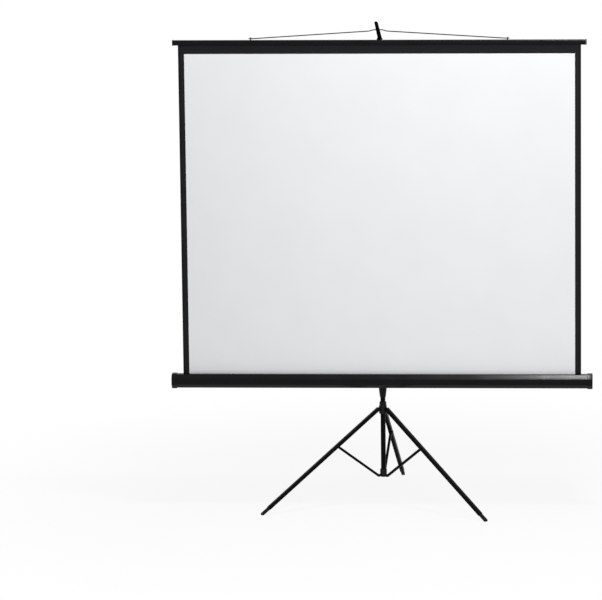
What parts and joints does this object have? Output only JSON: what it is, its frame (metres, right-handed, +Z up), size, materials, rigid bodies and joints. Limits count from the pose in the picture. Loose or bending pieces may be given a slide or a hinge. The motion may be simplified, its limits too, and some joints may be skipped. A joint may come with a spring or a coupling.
{
  "type": "tripod projection screen",
  "caption": "Free-standing projection screen: a spring-roller sheet drawn up from an eight-sided case to the hook of a telescopic mast, above a folding stand of channel legs and stays.",
  "frame": {"origin": "on the floor, under the middle of the overall box", "axes": "+Z up along the mast, -Y towards the viewer of the white sheet, +X to that viewer's right"},
  "size_m": [1.612, 0.801, 1.8775],
  "materials": {
    "black_enamel": "satin black stove enamel on steel",
    "black_plastic": "fine-grained moulded black",
    "black_rubber": "dull black",
    "blue_plastic": "smooth moulded blue",
    "zinc_steel": "bright zinc plate",
    "white_sheet": "matt white coated cloth with black borders"
  },
  "bodies": {
    "post": {"outer_tube": "black_enamel", "base_boss": "black_plastic", "lock_collar": "blue_plastic"},
    "button": {"lock_button": "blue_plastic"},
    "extension": {"extension_tube": "black_enamel", "arm_fork": "black_plastic", "arm_pin": "zinc_steel"},
    "arm": {"hook_arm": "black_enamel"},
    "hub": {"leg_hub": "black_plastic"},
    "hub_screw": {"hub_knob": "black_plastic"},
    "carrier": {"carrier_sleeve": "black_plastic", "carry_handle": "black_plastic", "pivot_bolt": "zinc_steel"},
    "carrier_screw": {"carrier_knob": "black_plastic"},
    "case": {"case_saddle": "black_enamel", "case_shell": "black_enamel", "end_cap_left": "black_plastic", "end_cap_right": "black_plastic"},
    "roller": {"roller_tube": "zinc_steel", "fabric_roll": "white_sheet", "roller_plug_left": "black_plastic", "roller_plug_right": "black_plastic", "roller_spring": "zinc_steel", "spring_spindle": "zinc_steel"},
    "slat": {"top_slat": "black_enamel", "slat_cap_left": "black_plastic", "slat_cap_right": "black_plastic", "bail_eye_left": "black_enamel", "bail_eye_right": "black_enamel", "screen_fabric": "white_sheet"},
    "bail": {"bail_wire": "black_enamel"},
    "leg_1_set": {"leg_1": "black_enamel", "leg_pin_1": "black_enamel", "foot_1": "black_rubber", "strut_pin_1": "black_enamel"},
    "stay_1_set": {"strut_1": "black_enamel", "stay_rivet_1": "black_enamel"},
    "leg_2_set": {"leg_2": "black_enamel", "leg_pin_2": "black_enamel", "foot_2": "black_rubber", "strut_pin_2": "black_enamel"},
    "stay_2_set": {"strut_2": "black_enamel", "stay_rivet_2": "black_enamel"},
    "leg_3_set": {"leg_3": "black_enamel", "leg_pin_3": "black_enamel", "foot_3": "black_rubber", "strut_pin_3": "black_enamel"},
    "stay_3_set": {"strut_3": "black_enamel", "stay_rivet_3": "black_enamel"}
  },
  "joints": [
    {"name": "button_press", "type": "slide", "parent": "post", "child": "button", "axis": [0, -1, 0], "range_m": [0, 0.003], "stiffness_N_per_m": 300},
    {"name": "extension_slide", "type": "slide", "parent": "post", "child": "extension", "axis": [0, 0, -1], "range_m": [0, 0.73]},
    {"name": "arm_tilt", "type": "hinge", "parent": "extension", "child": "arm", "pos_m": [0, -0.09999, 1.8], "axis": [1, 0, 0], "range_deg": [0, 25]},
    {"name": "hub_slide", "type": "slide", "parent": "post", "child": "hub", "axis": [0, 0, 1], "range_m": [0, 0.16456]},
    {"name": "hub_screw_turn", "type": "hinge", "parent": "hub", "child": "hub_screw", "pos_m": [0, -0.07999, 0.3935], "axis": [0, 1, 0], "range_deg": [0, 180]},
    {"name": "carrier_slide", "type": "slide", "parent": "hub", "child": "carrier", "axis": [0, 0, 1], "range_m": [0, 0.27]},
    {"name": "carrier_screw_turn", "type": "hinge", "parent": "carrier", "child": "carrier_screw", "pos_m": [0.03, -0.09999, 0.535], "axis": [1, 0, 0], "range_deg": [0, 180]},
    {"name": "case_pivot", "type": "hinge", "parent": "carrier", "child": "case", "pos_m": [0, -0.16599, 0.497], "axis": [0, 1, 0], "range_deg": [-45, 45]},
    {"name": "screen_pull", "type": "slide", "parent": "case", "child": "slat", "axis": [0, 0, -1], "range_m": [0, 1.258], "deforming": ["screen_fabric"]},
    {"name": "roller_spin", "type": "hinge", "parent": "case", "child": "roller", "pos_m": [0, -0.17309, 0.497], "axis": [1, 0, 0], "range_deg": [-5226, 0.1]},
    {"name": "bail_swing", "type": "hinge", "parent": "slat", "child": "bail", "pos_m": [0, -0.15929, 1.8143], "axis": [1, 0, 0], "range_deg": [0, 8]},
    {"name": "leg_1_fold", "type": "hinge", "parent": "hub", "child": "leg_1_set", "pos_m": [0.00219, -0.07911, 0.373], "axis": [-0.9945, 0.1045, 0], "range_deg": [-0.02, 52.24]},
    {"name": "stay_1_fold", "type": "hinge", "parent": "leg_1_set", "child": "stay_1_set", "pos_m": [0.01975, 0.0879, 0.24278], "axis": [-0.9945, 0.1045, 0], "range_deg": [-104.47, 0.04]},
    {"name": "leg_2_fold", "type": "hinge", "parent": "hub", "child": "leg_2_set", "pos_m": [-0.01918, -0.10854, 0.373], "axis": [0.4067, -0.9135, 0], "range_deg": [-0.02, 52.24]},
    {"name": "stay_2_fold", "type": "hinge", "parent": "leg_2_set", "child": "stay_2_set", "pos_m": [-0.17259, -0.17684, 0.24278], "axis": [0.4067, -0.9135, 0], "range_deg": [-104.47, 0.04]},
    {"name": "leg_3_fold", "type": "hinge", "parent": "hub", "child": "leg_3_set", "pos_m": [0.01699, -0.11234, 0.373], "axis": [0.5878, 0.809, 0], "range_deg": [-0.02, 52.24]},
    {"name": "stay_3_fold", "type": "hinge", "parent": "leg_3_set", "child": "stay_3_set", "pos_m": [0.15284, -0.21104, 0.24278], "axis": [0.5878, 0.809, 0], "range_deg": [-104.47, 0.04]}
  ],
  "couplings": [
    {"joint": "roller_spin", "follows": "screen_pull", "rad_per_m": -72.464},
    {"joint": "leg_1_fold", "follows": "hub_slide", "rad_per_m": 5.5372},
    {"joint": "stay_1_fold", "follows": "hub_slide", "rad_per_m": -11.074},
    {"joint": "leg_2_fold", "follows": "hub_slide", "rad_per_m": 5.5372},
    {"joint": "stay_2_fold", "follows": "hub_slide", "rad_per_m": -11.074},
    {"joint": "leg_3_fold", "follows": "hub_slide", "rad_per_m": 5.5372},
    {"joint": "stay_3_fold", "follows": "hub_slide", "rad_per_m": -11.074}
  ]
}
